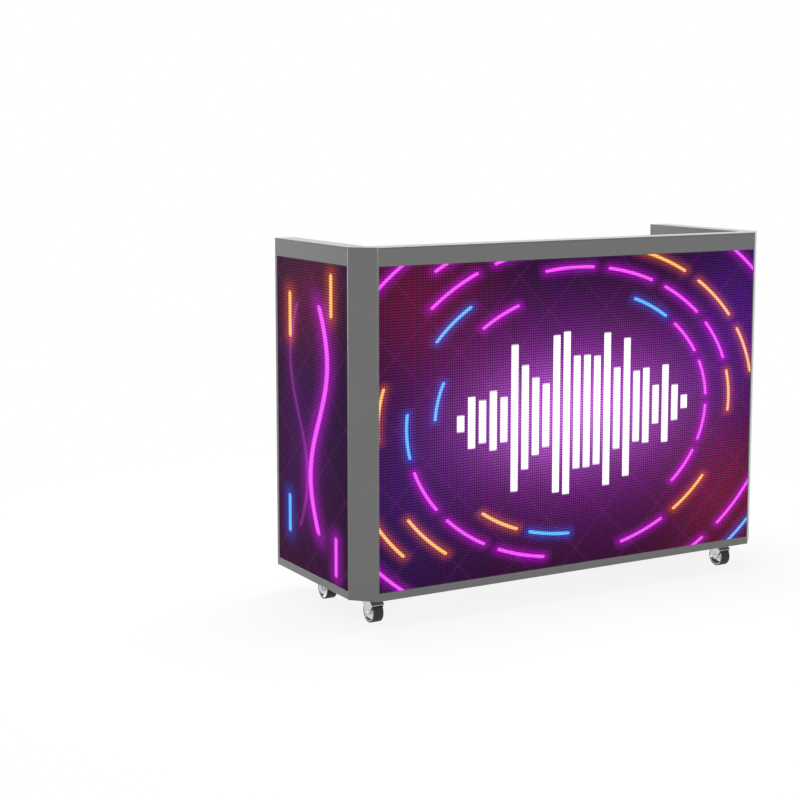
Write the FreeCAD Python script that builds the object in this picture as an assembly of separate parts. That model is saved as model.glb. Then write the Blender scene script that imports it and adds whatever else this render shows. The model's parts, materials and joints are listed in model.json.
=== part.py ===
import FreeCAD
import Part
import math
import os

# Mobile LED DJ booth: a U-shaped steel counter on castors, with screens on its front and sides.
# Millimetres. The origin is on the floor under the middle of the booth, -Y faces the audience,
# +Y is the operator's side, +X is to the right seen from the audience and +Z is up.

Vector = FreeCAD.Vector
AXES = (Vector(1, 0, 0), Vector(0, 1, 0), Vector(0, 0, 1))
X, Y, Z = range(3)

# Carcass
booth_width = 1500.0
booth_depth = 530.0
body_height = 1014.0
wall = 66.0
sheet = 1.5
frame_sheet = 2.0
edge_radius = 1.5
corner_flat = 4.0
bend_radius = 8.0
inner_facet = 12.0
cap_thickness = 3.0
cap_radius = 1.0
top_rail_height = 54.0
bottom_rail_height = 24.0
rear_post_depth = 14.0

# Screens
module_rows = 6
front_columns = 6
side_columns = 2
module_recess = 1.0
module_thickness = 14.0
module_gap = 0.5
bar_width = 24.0
bar_depth = 20.0
supply_height = 82.0
supply_depth = 24.0
supply_rows = (1, 4)
front_supply_columns = (1, 4)
side_supply_columns = (0,)
card_width = 150.0
card_height = 100.0
card_depth = 14.0
card_row = 3
front_card_bars = (1, 3, 5)
side_card_bars = (1,)

# Worktop and kneehole
worktop_height = 721.0
worktop_edge = 30.0
worktop_radius = 3.0
worktop_clip_gap = 0.3
cleat_leg = 25.0
cleat_sheet = 2.5
cleat_end_gap = 30.0
floor_depth = 286.0
floor_edge = 26.0
floor_leg_margin = 10.0

# Pedestal
pedestal_width = 410.0
plinth_height = 30.0
lip_width = 8.0
lip_depth = 23.0
front_gap = 3.0
front_thickness = 18.0
upper_front_height = 91.0
lower_front_height = 102.0
tray_rise = 11.0
tray_drop = 19.0
tray_back_gap = 43.0
strike_overlap = 6.0
divider_flange = 12.0

# Drawer slides
slide_width = 13.0
slide_height = 45.0
slide_sheet = 1.2
slide_play = 0.6
slide_web_play = 0.8
slide_rise = 5.0
slide_front_inset = 30.0
slide_clearance = 1.0

# Recessed pulls
pull_radius = 3.0
pull_width = 132.0
pull_height = 21.0
pull_depth = 23.0
upper_pull_rise = 37.5
lower_pull_rise = 41.0
door_pull_width = 24.0
door_pull_height = 112.0
door_pull_depth = 11.0
door_pull_inset = 30.0

# Cam locks
lock_hole_radius = 10.5
barrel_play = 0.2
neck_radius = 8.5
lock_nut_radius = 11.0
lock_nut_thickness = 2.0
lock_recess = 4.0
plug_radius = 6.5
plug_recess = 0.8
key_slot_width = 1.4
key_slot_height = 8.0
key_slot_depth = 5.0
cam_width = 12.0
cam_thickness = 3.0
cam_play = 1.0
cam_overlap = 5.0
upper_lock_drop = 22.0
lower_lock_drop = 26.0
door_lock_inset = 29.0
door_lock_lift = 95.0

# Door pivots
running_play = 0.05
pivot_inset = 6.0
pivot_radius = 2.5
pivot_reach = 10.0
pivot_end_play = 2.0
pivot_tab_play = 0.75

# Control box
control_width = 300.0
control_depth = 90.0
control_height = 274.0
control_left = -260.0
control_radius = 4.0
inlet_inset = 60.0
rocker_inset = 130.0
fitting_rise = 45.0
inlet_bore_radius = 10.0
inlet_wall = 2.5
inlet_depth = 18.0
inlet_flange = 33.0
inlet_flange_thickness = 2.5
inlet_flange_radius = 5.0
rocker_width = 15.0
rocker_half = 10.0
rocker_setback = 5.0
rocker_play = 0.5
rocker_tip_play = 1.6
rocker_tilt = 8.0
rocker_pin_radius = 1.5
rocker_frame_wall = 2.0
rocker_frame_depth = 14.0
rocker_bezel = 2.0
rocker_bezel_thickness = 1.2

# Castors
castor_side_inset = 98.0
castor_end_inset = 120.0
castor_plate = 62.0
castor_plate_thickness = 3.0
castor_plate_corner = 6.0
castor_head_play = 0.4
castor_head_height = 4.6
crown_clearance = 11.5
castor_head_radius = 20.0
castor_head_taper = 2.0
kingpin_radius = 5.0
kingpin_nut_radius = 8.5
kingpin_nut_thickness = 3.0
castor_trail = 27.0
wheel_radius = 32.0
tyre_width = 33.0
tyre_depth = 3.0
tyre_shoulder = 1.2
hub_width = 32.0
hub_rim = 3.0
hub_dish = 9.0
boss_radius = 9.0
axle_radius = 4.0
axle_head_radius = 6.5
axle_head_thickness = 2.5
fork_sheet = 2.5
fork_play = 1.5
fork_foot_radius = 10.0
fork_front = 18.0
fork_brow = 30.0
hood_clearance = 1.8
hood_reach = 28.0

# Planes that the pieces share
left = -booth_width / 2
right = booth_width / 2
front = -booth_depth / 2
rear = booth_depth / 2
fork_top = 2 * wheel_radius + crown_clearance + fork_sheet
head_top = fork_top + castor_head_height
plate_under = head_top + castor_head_play
base = plate_under + castor_plate_thickness
top = base + body_height
cap_under = top - cap_thickness
inner_left = left + wall
inner_right = right - wall
inner_front = front + wall
screen_low = base + bottom_rail_height
screen_high = top - top_rail_height
side_wall_rear = rear - rear_post_depth
bar_face = module_recess + module_thickness
supply_face = bar_face + bar_depth
worktop_top = base + worktop_height
worktop_under = worktop_top - worktop_edge
floor_rear = inner_front + floor_depth
floor_leg_right = left + castor_side_inset + castor_plate / 2 + floor_leg_margin

pedestal_right = inner_right
pedestal_left = inner_right - pedestal_width
pedestal_middle = (pedestal_left + pedestal_right) / 2
front_left = pedestal_left + lip_width + front_gap
front_right = pedestal_right - lip_width - front_gap
upper_front_top = worktop_under - lip_width - front_gap
upper_front_low = upper_front_top - upper_front_height
lower_front_top = upper_front_low - front_gap
lower_front_low = lower_front_top - lower_front_height
door_top = lower_front_low - front_gap
door_low = base + plinth_height + front_gap
door_middle = (door_low + door_top) / 2
front_back = rear - front_thickness
backing_back = front_back - sheet
strike_plane = rear - lip_depth
cam_front = strike_plane - cam_play
slide_offset = lip_width + slide_clearance
tray_left = pedestal_left + slide_offset + slide_width
tray_right = pedestal_right - slide_offset - slide_width
tray_back = inner_front + sheet + tray_back_gap
pivot_x = front_right - pivot_inset
pivot_y = rear - pivot_inset

control_right = control_left + control_width
control_face = inner_front + control_depth
control_low = worktop_under - control_height
fitting_z = control_low + fitting_rise
rocker_middle = control_left + rocker_inset
rocker_axis_y = control_face - rocker_setback
rocker_hole_width = rocker_width + 2 * rocker_play
rocker_hole_height = 2 * (rocker_half + rocker_tip_play)

fork_inner = tyre_width / 2 + fork_play
fork_outer = fork_inner + fork_sheet
hub_radius = wheel_radius - tyre_depth


def block(x, y, z):
    """A box from its three spans."""
    corner = Vector(x[0], y[0], z[0])
    return Part.makeBox(x[1] - x[0], y[1] - y[0], z[1] - z[0], corner)


def around(middle, size):
    """The span of a size about its middle."""
    return (middle - size / 2, middle + size / 2)


def outline(points):
    """A flat face with straight sides."""
    return Part.Face(Part.makePolygon(points + points[:1]))


def mirrored(shape):
    """The other hand of a piece, across the middle of the booth."""
    return shape.mirror(Vector(0, 0, 0), AXES[X])


def rounded(shape, radius, axis, keep=None):
    """Round the straight edges along one axis, or those whose middle passes the test."""
    edges = []
    for edge in shape.Edges:
        if not isinstance(edge.Curve, Part.Line):
            continue
        along = (edge.lastVertex().Point - edge.firstVertex().Point).normalize()
        if abs(along.dot(AXES[axis])) > 0.999 and (keep is None or keep(edge.CenterOfMass)):
            edges.append(edge)
    return shape.makeFillet(radius, edges)


def tube(axis, x, y, z, thickness, radius, keep):
    """A folded rectangular tube, open at both ends of its axis, rounded where its edges show."""
    spans = [x, y, z]
    bore = [(low + thickness, high - thickness) for low, high in spans]
    bore[axis] = spans[axis]
    return rounded(block(*spans), radius, axis, keep).cut(block(*bore))


def cylinder(radius, axis, start, end, across):
    """A round bar along an axis, at a place given by its other two coordinates in order."""
    place = list(across)
    place.insert(axis, start)
    return Part.makeCylinder(radius, end - start, Vector(*place), AXES[axis])


def hexagon(radius, axis, start, end, across):
    """A hexagonal bar along an axis, measured over its corners and placed like a round one."""
    points = []
    for corner in range(6):
        angle = math.radians(60 * corner)
        place = [across[0] + radius * math.cos(angle), across[1] + radius * math.sin(angle)]
        place.insert(axis, start)
        points.append(Vector(*place))
    return outline(points).extrude(AXES[axis] * (end - start))


def save(node, *solids):
    """Write a node, which is one solid or a group of separate solids."""
    shape = solids[0] if len(solids) == 1 else Part.makeCompound(list(solids))
    shape.exportStep("parts/%s.step" % node)


def at_bend(point):
    """Whether an upright edge stands at a bend beside an outer facet."""
    facet = wall - corner_flat
    bends = ((right, front + facet), (right - facet, front))
    return any(math.hypot(abs(point.x) - x, point.y - y) < 1e-4 for x, y in bends)


def corner_post():
    """Chamfered front corner post, a closed fold open at its ends."""
    facet = wall - corner_flat
    plan = [
        Vector(left, front + facet, base),
        Vector(left + facet, front, base),
        Vector(inner_left, front, base),
        Vector(inner_left, inner_front, base),
        Vector(left, inner_front, base),
    ]
    face = outline(plan)
    hollow = Part.Face(face.OuterWire.makeOffset2D(-frame_sheet, 2))
    rise = Vector(0, 0, cap_under - base)
    return rounded(face.extrude(rise), bend_radius, Z, at_bend).cut(hollow.extrude(rise))


def rear_post():
    """Folded channel that closes the rear end of a side wall."""
    body = block((left, inner_left), (side_wall_rear, rear), (base, cap_under))
    body = rounded(body, edge_radius, Z, lambda point: point.y > rear - 1e-4)
    hollow = block(
        (left + frame_sheet, inner_left - frame_sheet),
        (side_wall_rear, rear - frame_sheet),
        (base, cap_under),
    )
    return body.cut(hollow)


def top_cap():
    """U-shaped plate over all three walls, with faceted corners inside and out."""
    facet = wall - corner_flat
    half = [
        Vector(left, rear, cap_under),
        Vector(left, front + facet, cap_under),
        Vector(left + facet, front, cap_under),
    ]
    inner_half = [
        Vector(inner_left + inner_facet, inner_front, cap_under),
        Vector(inner_left, inner_front + inner_facet, cap_under),
        Vector(inner_left, rear, cap_under),
    ]
    across = [Vector(-p.x, p.y, p.z) for p in half[::-1]]
    inner_across = [Vector(-p.x, p.y, p.z) for p in inner_half[::-1]]
    plate = outline(half + across + inner_across + inner_half).extrude(Vector(0, 0, cap_thickness))
    plate = rounded(plate, bend_radius, Z, at_bend)
    rim = [edge for edge in plate.Edges if edge.BoundBox.ZMin > top - 1e-4]
    return plate.makeFillet(cap_radius, rim)


def inner_corner_wedge(leg, height):
    """Wedge that fills an inner corner from the underside of the worktop upwards."""
    plan = [
        Vector(inner_left, inner_front, worktop_under),
        Vector(inner_left + leg, inner_front, worktop_under),
        Vector(inner_left, inner_front + leg, worktop_under),
    ]
    return outline(plan).extrude(Vector(0, 0, height))


def inner_corner_strip():
    """Narrow 45 degree strip in an inner corner, past the worktop and up to the cap."""
    height = cap_under - worktop_under
    behind = inner_facet - sheet * math.sqrt(2)
    return inner_corner_wedge(inner_facet, height).cut(inner_corner_wedge(behind, height))


def worktop():
    """Hollow worktop, clipped where the corner strips pass it."""
    plate = tube(X, (inner_left, inner_right), (inner_front, rear), (worktop_under, worktop_top),
                 sheet, worktop_radius, lambda point: point.y > rear - 1e-4)
    clip = inner_corner_wedge(inner_facet + worktop_clip_gap, worktop_edge)
    return plate.cut(clip).cut(mirrored(clip))


def wall_block(side, along, depth, z):
    """A box in the front or left wall, placed along the wall and by its depth from outside."""
    if side == "front":
        return block(along, (front + depth[0], front + depth[1]), z)
    return block((left + depth[0], left + depth[1]), along, z)


def rail(side, z):
    """Rectangular tube along the outside of the front or left wall."""
    if side == "front":
        return tube(X, (inner_left, inner_right), (front, inner_front - sheet), z, frame_sheet,
                    edge_radius, lambda point: point.y < front + 1e-4)
    return tube(Y, (left, inner_left - sheet), (inner_front, side_wall_rear), z, frame_sheet,
                edge_radius, lambda point: point.x < left + 1e-4)


def screen_span(side):
    """Where a screen starts and ends along its wall, and its count of columns."""
    if side == "front":
        return inner_left, inner_right, front_columns
    return inner_front, side_wall_rear, side_columns


def led_modules(side):
    """The modules of one screen, each a solid of its own."""
    start, end, columns = screen_span(side)
    wide = (end - start) / columns
    high = (screen_high - screen_low) / module_rows
    depth = (module_recess, module_recess + module_thickness)
    modules = []
    for column in range(columns):
        along = around(start + (column + 0.5) * wide, wide - module_gap)
        for row in range(module_rows):
            z = around(screen_low + (row + 0.5) * high, high - module_gap)
            modules.append(wall_block(side, along, depth, z))
    return modules


def bar_middles(side):
    """The places of the bars that carry the edges of the modules."""
    start, end, columns = screen_span(side)
    wide = (end - start) / columns
    middles = [start + column * wide for column in range(columns + 1)]
    middles[0] += bar_width / 2
    middles[-1] -= bar_width / 2
    return middles


def module_bars(side):
    """Hollow upright bars between the bottom and top rails."""
    bars = []
    for middle in bar_middles(side):
        along = around(middle, bar_width)
        height = (screen_low, screen_high)
        bar = wall_block(side, along, (bar_face, supply_face), height)
        inner = around(middle, bar_width - 2 * frame_sheet)
        depth = (bar_face + frame_sheet, supply_face - frame_sheet)
        bars.append(bar.cut(wall_block(side, inner, depth, height)))
    return bars


def power_supplies(side, columns):
    """Flat power supplies, each across two neighbouring bars."""
    middles = bar_middles(side)
    high = (screen_high - screen_low) / module_rows
    supplies = []
    for column in columns:
        along = (middles[column] - bar_width / 2, middles[column + 1] + bar_width / 2)
        for row in supply_rows:
            z = around(screen_low + (row + 0.5) * high, supply_height)
            supplies.append(wall_block(side, along, (supply_face, supply_face + supply_depth), z))
    return supplies


def receiving_cards(side, bars):
    """Driver boards for the modules, each on one bar."""
    middles = bar_middles(side)
    height = around(screen_low + card_row * (screen_high - screen_low) / module_rows, card_height)
    depth = (supply_face, supply_face + card_depth)
    return [wall_block(side, around(middles[bar], card_width), depth, height) for bar in bars]


def floor_plan(inset, level):
    """L-shaped plan of the kneehole floor, drawn in from its edges by an inset."""
    return outline([
        Vector(inner_left + inset, inner_front + inset, level),
        Vector(pedestal_left - inset, inner_front + inset, level),
        Vector(pedestal_left - inset, floor_rear - inset, level),
        Vector(floor_leg_right - inset, floor_rear - inset, level),
        Vector(floor_leg_right - inset, rear - inset, level),
        Vector(inner_left + inset, rear - inset, level),
    ])


def floor_pan():
    """Folded floor of the kneehole, with a leg along the left wall over the rear castor."""
    low = base + sheet
    body = floor_plan(0, low).extrude(Vector(0, 0, floor_edge - sheet))
    return body.cut(floor_plan(sheet, low).extrude(Vector(0, 0, floor_edge - 2 * sheet)))


def worktop_cleats():
    """Angles on the left and front walls that the worktop rests on."""
    low = worktop_under - cleat_leg
    height = (low, worktop_under)

    def angle_x(x):
        body = block(x, (inner_front, inner_front + cleat_leg), height)
        return body.cut(block(x, (inner_front + cleat_sheet, inner_front + cleat_leg),
                              (low, worktop_under - cleat_sheet)))

    y = (inner_front + cleat_leg + cleat_end_gap, rear - cleat_end_gap)
    side = block((inner_left, inner_left + cleat_leg), y, height)
    side = side.cut(block((inner_left + cleat_sheet, inner_left + cleat_leg), y,
                          (low, worktop_under - cleat_sheet)))
    return [
        side,
        angle_x((inner_left + cleat_end_gap, control_left - cleat_end_gap)),
        angle_x((control_right + cleat_end_gap, pedestal_left - cleat_end_gap)),
    ]


def pedestal_shell():
    """Folded cabinet with a plinth, turned-in front lips, lock strike rail and divider."""
    inside = (pedestal_left + sheet, pedestal_right - sheet)
    floor = base + plinth_height
    body = block((pedestal_left, pedestal_right), (inner_front, rear), (base, worktop_under))
    body = body.cut(block(inside, (inner_front + sheet, rear), (floor, worktop_under - sheet)))
    body = body.cut(block(inside, (inner_front, rear - sheet), (base + sheet, floor - sheet)))
    face = (rear - sheet, rear)
    fold = (strike_plane, rear)
    height = (floor, worktop_under)
    left_edge = pedestal_left + lip_width
    right_edge = pedestal_right - lip_width
    top_edge = worktop_under - lip_width
    strike = (lower_front_top - front_gap, lower_front_top + front_gap + strike_overlap)
    divider = (lower_front_low, lower_front_low + sheet)
    back_of_strike = strike_plane + sheet
    return body.fuse([
        block((pedestal_left, left_edge), face, height),
        block((left_edge - sheet, left_edge), fold, height),
        block((right_edge, pedestal_right), face, height),
        block((right_edge, right_edge + sheet), fold, height),
        block((left_edge, right_edge), face, (top_edge, worktop_under)),
        block((left_edge, right_edge), fold, (top_edge, top_edge + sheet)),
        block(inside, (strike_plane, back_of_strike), strike),
        block(inside, (inner_front + sheet, back_of_strike), divider),
        block(inside, (strike_plane, back_of_strike),
              (lower_front_low - divider_flange, lower_front_low)),
    ]).removeSplitter()


def pull_form(middle, size, inset, depth):
    """Rounded block of a pull, drawn in from its outside by an inset."""
    body = block(
        around(middle[0], size[0] - 2 * inset),
        (rear - depth, rear),
        around(middle[1], size[1] - 2 * inset),
    )
    return rounded(body, pull_radius + sheet - inset, Y)


def pull_cup(middle, size, depth):
    """Recessed pull, a pressed cup, and the block that its hole is cut with."""
    outer_size = (size[0] + 2 * sheet, size[1] + 2 * sheet)
    outer = pull_form(middle, outer_size, 0, depth + sheet)
    return outer.cut(pull_form(middle, outer_size, sheet, depth)), outer


def front_pan(z):
    """Folded pan of a drawer front or door, open at its back."""
    x = (front_left, front_right)
    body = block(x, (front_back, rear), z)
    body = body.makeChamfer(edge_radius, [edge for edge in body.Edges if edge.BoundBox.YMin > front_back])
    hollow = block(
        (x[0] + sheet, x[1] - sheet),
        (front_back, rear - sheet),
        (z[0] + sheet, z[1] - sheet),
    )
    return body.cut(hollow)


def lock_hole(place):
    """Cutter for the hole of a lock in a front."""
    return cylinder(lock_hole_radius, Y, front_back, rear, place)


def neck_hole(place):
    """Cutter for the hole that keeps a lock's neck from turning in the sheet behind a front."""
    return hexagon(neck_radius + barrel_play, Y, backing_back, front_back, place)


def lock_barrel(place):
    """Lock barrel with a shoulder before the backing sheet and a nut behind it."""
    nut_back = backing_back - lock_nut_thickness
    head = cylinder(lock_hole_radius - barrel_play, Y, front_back, rear - lock_recess, place)
    neck = hexagon(neck_radius, Y, backing_back, front_back, place)
    nut = hexagon(lock_nut_radius, Y, nut_back, backing_back, place)
    bore = cylinder(plug_radius + running_play, Y, nut_back, rear, place)
    return head.fuse([neck, nut]).cut(bore)


def lock_plug(place, pointing, reach):
    """Lock plug with its key slot, and the cam that it turns behind the strike."""
    face = rear - lock_recess - plug_recess
    plug = cylinder(plug_radius, Y, cam_front - cam_thickness, face, place)
    cam_y = (cam_front - cam_thickness, cam_front)
    end = cam_width / 2
    tip = (place[0] + pointing[0] * (reach - end), place[1] + pointing[1] * (reach - end))
    sideways = (abs(pointing[1]) * end, abs(pointing[0]) * end)
    spans = []
    for here, there, half in zip(place, tip, sideways):
        spans.append((min(here, there) - half, max(here, there) + half))
    cam = block(spans[0], cam_y, spans[1]).fuse(cylinder(end, Y, *cam_y, tip))
    slot = block(
        around(place[0], key_slot_width),
        (face - key_slot_depth, face),
        around(place[1], key_slot_height),
    )
    return plug.fuse(cam).removeSplitter().cut(slot)


def drawer_tray(z, pull, lock):
    """Open tray with a backing sheet that closes the pan of its front."""
    tray_z = (z[0] + tray_rise, z[1] - tray_drop)
    body = block((tray_left, tray_right), (tray_back, front_back), tray_z)
    body = body.cut(block(
        (tray_left + sheet, tray_right - sheet),
        (tray_back + sheet, backing_back),
        (tray_z[0] + sheet, tray_z[1]),
    ))
    backing = block((front_left, front_right), (backing_back, front_back), z)
    return body.fuse(backing).removeSplitter().cut(pull).cut(neck_hole(lock))


def slide_channel(hand, span, half, middle, web_inside):
    """One channel of a slide, placed from the cabinet's side, open to the drawer or to that side."""
    length = (tray_back, rear - slide_front_inset)
    hollow = (span[0], span[1] - slide_sheet) if web_inside else (span[0] + slide_sheet, span[1])

    def across(pair):
        if hand == "left":
            return (pedestal_left + pair[0], pedestal_left + pair[1])
        return (pedestal_right - pair[1], pedestal_right - pair[0])

    body = block(across(span), length, around(middle, 2 * half))
    return body.cut(block(across(hollow), length, around(middle, 2 * (half - slide_sheet))))


def slide_members(z):
    """Packers that bring the slides clear of the lips, then outer, middle and inner members."""
    middle = z[0] + tray_rise + slide_rise + slide_height / 2
    step = slide_sheet + slide_web_play
    starts = [sheet] + [slide_offset + count * step for count in range(3)]
    ends = [slide_offset] + [slide_offset + slide_width - count * step for count in (2, 1, 0)]
    halves = [slide_height / 2 - count * (slide_sheet + slide_play) for count in (0, 0, 1, 2)]
    open_to_drawer = (False, True, True, False)
    members = []
    for span, half, opens in zip(zip(starts, ends), halves, open_to_drawer):
        members.append([slide_channel(hand, span, half, middle, not opens) for hand in ("left", "right")])
    return members


def drawer(name, z, pull_rise, lock_drop):
    """Write the pieces of one drawer and return the packers and fixed members of its slides."""
    place = (pedestal_middle, z[1] - lock_drop)
    cup, pull = pull_cup((pedestal_middle, z[0] + pull_rise), (pull_width, pull_height), pull_depth)
    packers, outer, middle, inner = slide_members(z)
    save(name + "_drawer_front", front_pan(z).cut(pull).cut(lock_hole(place)))
    save(name + "_drawer_pull", cup)
    save(name + "_drawer_tray", drawer_tray(z, pull, place))
    save(name + "_drawer_lock_barrel", lock_barrel(place))
    save(name + "_drawer_lock_plug", lock_plug(place, (1, 0), lock_drop + front_gap + cam_overlap))
    save(name + "_slide_inners", *inner)
    save(name + "_slide_middles", *middle)
    return packers, outer


def pivot_bar(radius, start, end):
    """A round bar on the axis of the door."""
    return cylinder(radius, Z, start, end, (pivot_x, pivot_y))


def door():
    """Write the pieces of the door and the pivots that carry it."""
    z = (door_low, door_top)
    lock = (front_left + door_lock_inset, door_middle + door_lock_lift)
    middle = (front_left + door_pull_inset, door_middle)
    cup, pull = pull_cup(middle, (door_pull_width, door_pull_height), door_pull_depth)
    bore = pivot_reach + pivot_end_play
    boss_x = (front_right - 2 * pivot_inset, front_right - sheet)
    boss_y = (rear - 2 * pivot_inset, rear - sheet)
    skin = front_pan(z).fuse([
        block(boss_x, boss_y, (door_low + sheet, door_low + bore + sheet)),
        block(boss_x, boss_y, (door_top - bore - sheet, door_top - sheet)),
    ]).removeSplitter()
    skin = skin.cut(pivot_bar(pivot_radius + running_play, door_low, door_low + bore))
    skin = skin.cut(pivot_bar(pivot_radius + running_play, door_top - bore, door_top))
    save("door_outer_skin", skin.cut(pull).cut(lock_hole(lock)))
    backing = block((front_left, front_right), (backing_back, front_back), z)
    save("door_inner_skin", backing.cut(neck_hole(lock)))
    save("door_pull", cup)
    save("door_lock_barrel", lock_barrel(lock))
    save("door_lock_plug", lock_plug(lock, (0, 1), door_lock_inset + front_gap + cam_overlap))
    tab = block(
        (front_right - 2 * pivot_inset, pedestal_right - lip_width),
        (rear - 2 * pivot_inset, rear - edge_radius),
        (door_top + pivot_tab_play, lower_front_low - pivot_tab_play),
    )
    upper_pivot = tab.fuse(pivot_bar(pivot_radius, door_top - pivot_reach, door_top + pivot_tab_play))
    lower_pivot = pivot_bar(pivot_radius, base + plinth_height, door_low + pivot_reach)
    save("door_pivots", upper_pivot, lower_pivot)


def control_box():
    """Control box with its cut-outs, open towards the wall that it hangs on."""
    x = (control_left, control_right)
    z = (control_low, worktop_under)
    body = block(x, (inner_front, control_face), z)
    body = rounded(body, control_radius, Z, lambda point: point.y > control_face - 1e-4)
    body = body.cut(block(
        (x[0] + sheet, x[1] - sheet),
        (inner_front, control_face - sheet),
        (z[0] + sheet, z[1] - sheet),
    ))
    inlet = (control_left + inlet_inset, fitting_z)
    hole = inlet_bore_radius + inlet_wall + running_play
    body = body.cut(cylinder(hole, Y, control_face - sheet, control_face, inlet))
    return body.cut(rocker_block(rocker_frame_wall, control_face - sheet, control_face))


def mains_inlet():
    """Round mains socket with a square flange."""
    place = (control_left + inlet_inset, fitting_z)
    outside = control_face + inlet_flange_thickness
    bottom = control_face - inlet_depth
    flange = block(
        around(place[0], inlet_flange),
        (control_face, outside),
        around(place[1], inlet_flange),
    )
    flange = rounded(flange, inlet_flange_radius, Y)
    outer = inlet_bore_radius + inlet_wall
    body = flange.fuse(cylinder(outer, Y, bottom - inlet_wall, control_face, place))
    return body.cut(cylinder(inlet_bore_radius, Y, bottom, outside, place))


def rocker_block(margin, start, end):
    """Block round the rocker's hole, with a margin, between two depths."""
    return block(
        around(rocker_middle, rocker_hole_width + 2 * margin),
        (start, end),
        around(fitting_z, rocker_hole_height + 2 * margin),
    )


def rocker_pin(radius, length):
    """Round bar on the axis of the rocker."""
    return cylinder(radius, X, *around(rocker_middle, length), (rocker_axis_y, fitting_z))


def rocker_frame():
    """Sleeve that holds the rocker's pin, with a bezel on the face of the box."""
    back = control_face - rocker_frame_depth
    outside = control_face + rocker_bezel_thickness
    body = rocker_block(rocker_frame_wall, back, control_face)
    body = body.fuse(rocker_block(rocker_frame_wall + rocker_bezel, control_face, outside))
    body = body.cut(rocker_block(0, back, outside))
    bore = rocker_pin(rocker_pin_radius + running_play, rocker_hole_width + 2 * rocker_frame_wall)
    return body.cut(bore)


def power_rocker():
    """Rocker with a dished face on its pin, at rest on its off side."""
    x = around(rocker_middle, rocker_width)
    axis = Vector(x[0], rocker_axis_y, fitting_z)
    proud = rocker_setback + 3 * sheet
    half = rocker_half
    corners = [
        (proud, -half), (proud, half), (2 * sheet, half), (-rocker_setback, half / 2),
        (-rocker_setback, -half / 2), (2 * sheet, -half),
    ]
    profile = outline([axis + Vector(0, y, z) for y, z in corners])
    body = profile.extrude(Vector(rocker_width, 0, 0))
    dish_radius = 3 * half
    dish = cylinder(dish_radius, X, *x, (axis.y + proud + dish_radius - sheet, fitting_z))
    body = body.cut(dish)
    body.rotate(axis, AXES[X], rocker_tilt)
    return body.fuse(rocker_pin(rocker_pin_radius, rocker_hole_width + rocker_frame_wall))


def castor_plate_and_pin(place):
    """Fixed half of a castor: top plate, kingpin and its nut."""
    plate = block(
        around(place[0], castor_plate),
        around(place[1], castor_plate),
        (plate_under, base),
    )
    plate = plate.makeChamfer(castor_plate_corner, [
        edge for edge in plate.Edges if edge.BoundBox.ZLength > castor_plate_thickness / 2
    ])
    nut_top = fork_top - fork_sheet - castor_head_play
    nut_low = nut_top - kingpin_nut_thickness
    pin = cylinder(kingpin_radius, Z, nut_low, plate_under, place)
    nut = hexagon(kingpin_nut_radius, Z, nut_low, nut_top, place)
    return plate.fuse([pin, nut]).removeSplitter()


def fork_profile():
    """Side of a castor fork about its kingpin: brow, sloping hood and rounded foot."""
    slope = hood_slope()
    hood_y = -castor_trail - hood_reach
    hood_z = fork_top + slope * (hood_y + fork_brow)
    foot_y = -castor_trail
    foot = fork_foot_radius
    points = [
        Vector(0, foot_y + foot, wheel_radius),
        Vector(0, fork_front - fork_sheet, fork_top - 2 * fork_foot_radius / 3),
        Vector(0, fork_front, fork_top),
        Vector(0, -fork_brow, fork_top),
        Vector(0, hood_y, hood_z),
        Vector(0, hood_y + fork_sheet, hood_z - fork_foot_radius / 2),
        Vector(0, foot_y - foot, wheel_radius),
    ]
    edges = [Part.makeLine(a, b) for a, b in zip(points, points[1:])]
    low = Vector(0, foot_y, wheel_radius - foot)
    edges.append(Part.Arc(points[-1], low, points[0]).toShape())
    return Part.Face(Part.Wire(edges))


def hood_slope():
    """Rise of the hood towards the front, set by its clearance over the tyre."""
    reach = wheel_radius + hood_clearance + fork_sheet
    ahead = castor_trail - fork_brow
    above = fork_top - wheel_radius
    normal = math.atan2(above, ahead) + math.acos(reach / math.hypot(ahead, above))
    return -1 / math.tan(normal)


def castor_fork(place):
    """Pressed fork with its bearing head, open round the wheel, and its riveted axle."""
    slope = hood_slope()
    width = 2 * fork_outer
    body = fork_profile().extrude(Vector(width, 0, 0))
    body.translate(Vector(-fork_outer, 0, 0))
    under = fork_top - fork_sheet
    fold = fork_sheet * math.hypot(1, slope)
    back = -castor_trail - 2 * wheel_radius
    hollow = outline([
        Vector(-fork_inner, fork_front, under),
        Vector(-fork_inner, (fold - fork_sheet) / slope - fork_brow, under),
        Vector(-fork_inner, back, fork_top - fold + slope * (back + fork_brow)),
        Vector(-fork_inner, back, 0),
        Vector(-fork_inner, fork_front, 0),
    ]).extrude(Vector(2 * fork_inner, 0, 0))
    body = body.cut(hollow)
    head = Part.makeCone(castor_head_radius, castor_head_radius - castor_head_taper,
                         castor_head_height, Vector(0, 0, fork_top))
    body = body.fuse(head).removeSplitter()
    body = body.cut(cylinder(kingpin_radius + running_play, Z, under, head_top, (0, 0)))
    axle_place = (-castor_trail, wheel_radius)
    fork = body.fuse([
        cylinder(axle_radius, X, -fork_inner, fork_inner, axle_place),
        hexagon(axle_head_radius, X, fork_outer, fork_outer + axle_head_thickness, axle_place),
        hexagon(axle_head_radius, X, -fork_outer - axle_head_thickness, -fork_outer, axle_place),
    ])
    fork.translate(Vector(place[0], place[1], 0))
    return fork


def wheel_piece(place, profile):
    """A piece of a wheel, turned from its points along the axle and out from it."""
    middle = Vector(place[0], place[1] - castor_trail, wheel_radius)
    points = [middle + Vector(along, 0, out) for along, out in profile]
    return outline(points).revolve(middle, AXES[X], 360)


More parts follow.
